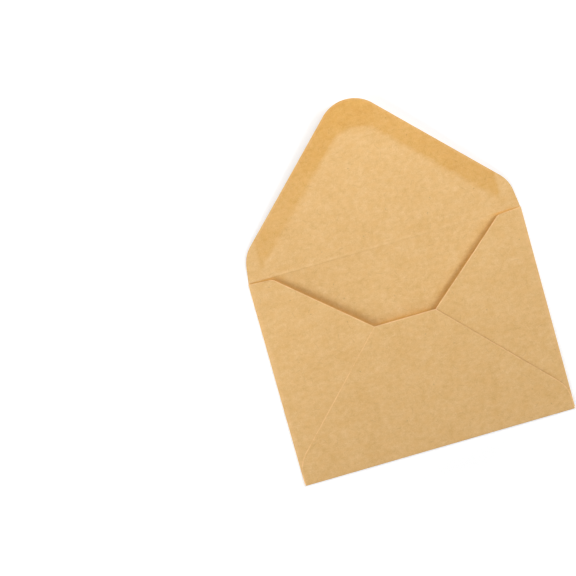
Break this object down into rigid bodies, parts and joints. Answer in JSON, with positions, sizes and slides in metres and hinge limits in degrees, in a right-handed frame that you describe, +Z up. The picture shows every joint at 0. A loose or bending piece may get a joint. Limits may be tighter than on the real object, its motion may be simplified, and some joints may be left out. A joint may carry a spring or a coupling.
{
  "type": "paper envelope",
  "caption": "Empty kraft paper envelope with its pointed, gummed top flap open, lying on its address panel; a letter or card slides into the pocket behind the glued side and bottom flaps.",
  "frame": {"origin": "middle of the address panel's outer face, on the surface that the envelope lies on", "axes": "+Z up, out of the back of the pocket; +Y along the pocket towards the open top flap; +X along the crease, to the right as seen from above"},
  "size_m": [0.146, 0.1905, 0.0057],
  "materials": {
    "kraft_paper": "uncoated, fibrous, matte",
    "dried_gum": "thin dried gum, soft sheen",
    "seam_glue": "dried glue, matte"
  },
  "bodies": {
    "root": {"folded_paper_sheet": "kraft_paper", "flap_gum_strip": "dried_gum", "left_seam_glue": "seam_glue", "right_seam_glue": "seam_glue"}
  },
  "joints": []
}
